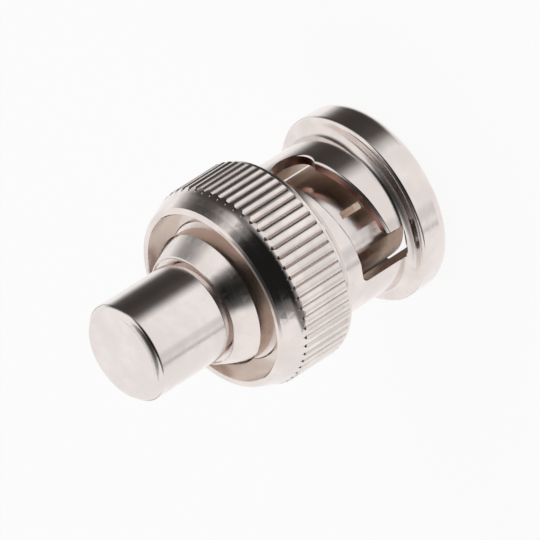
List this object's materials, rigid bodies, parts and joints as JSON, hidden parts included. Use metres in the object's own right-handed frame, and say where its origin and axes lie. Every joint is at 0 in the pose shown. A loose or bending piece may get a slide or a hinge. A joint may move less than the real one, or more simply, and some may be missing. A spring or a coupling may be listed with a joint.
{
  "type": "bnc terminator",
  "caption": "Male bayonet coaxial terminator: a knurled coupling nut with cam slots turns on a sprung body, with a cylindrical end cap behind it that holds the load resistor.",
  "frame": {"origin": "centre of the coupling nut's mating face, on the connector's axis, at the bottom of the part as it stands on that face", "axes": "+Z along the connector's axis, from the mating face to the end cap; the mouths of the bayonet slots are on +X and -X"},
  "size_m": [0.0144, 0.0144, 0.0231],
  "materials": {
    "nickel_nut": "bright nickel plate on turned brass",
    "nickel_body": "bright nickel plate",
    "spring_metal": "satin rolled strip",
    "gold_pin": "gold plate",
    "bare_brass": "turned",
    "insulator": "waxy white",
    "silicone": "matt red",
    "resistor_ceramic": "lacquered",
    "tinned_metal": "tinned",
    "tube": "translucent tube",
    "solder": "dull solder"
  },
  "bodies": {
    "body": {"plug_body": "nickel_body", "outer_contact": "nickel_body", "front_gasket": "silicone", "front_insulator": "insulator", "rear_insulator": "insulator", "centre_pin": "gold_pin", "stop_ring": "nickel_body", "clamp_collar": "nickel_body", "end_cap": "nickel_body", "ground_ferrule": "bare_brass", "resistor_rod": "resistor_ceramic", "resistor_cap_front": "tinned_metal", "resistor_cap_rear": "tinned_metal", "resistor_lead_front": "tinned_metal", "resistor_lead_rear": "tinned_metal", "insulating_tube": "tube", "solder_front": "solder", "solder_rear": "solder", "wave_washer": "spring_metal"},
    "thrust": {"thrust_washer": "spring_metal"},
    "nut": {"coupling_nut": "nickel_nut"}
  },
  "joints": [
    {"name": "nut_push", "type": "slide", "parent": "body", "child": "thrust", "axis": [0, 0, -1], "range_m": [0, 0.0005], "stiffness_N_per_m": 8000, "springref_m": -0.0005, "deforming": ["wave_washer"]},
    {"name": "nut_turn", "type": "hinge", "parent": "thrust", "child": "nut", "pos_m": [0, 0, 0.008], "axis": [0, 0, 1], "continuous": true}
  ]
}
